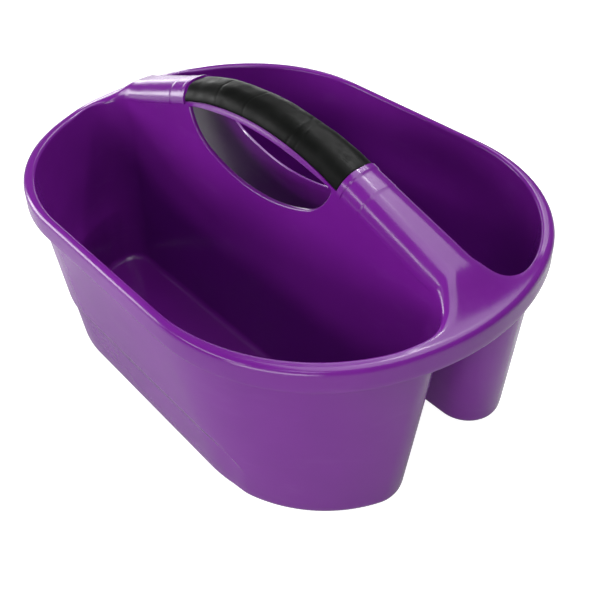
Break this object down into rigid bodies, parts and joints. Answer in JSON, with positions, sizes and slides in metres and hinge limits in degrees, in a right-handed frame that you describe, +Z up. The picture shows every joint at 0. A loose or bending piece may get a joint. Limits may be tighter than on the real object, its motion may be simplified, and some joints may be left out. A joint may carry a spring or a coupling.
{
  "type": "cleaning caddy",
  "caption": "Moulded open caddy with two deep D-shaped bins either side of a hollow ridge that rises to an arched handle with a soft grip sleeve.",
  "frame": {"origin": "on the floor, under the middle of the handle", "axes": "+X along the handle, +Y across the bins, +Z up"},
  "size_m": [0.4012, 0.2972, 0.213],
  "materials": {
    "purple_plastic": "injection-moulded polypropylene, satin gloss with slight flow shading",
    "grip_rubber": "soft matte black foam rubber with faint creases across it"
  },
  "bodies": {
    "root": {"caddy_tub": "purple_plastic", "grip_sleeve": "grip_rubber"}
  },
  "joints": []
}
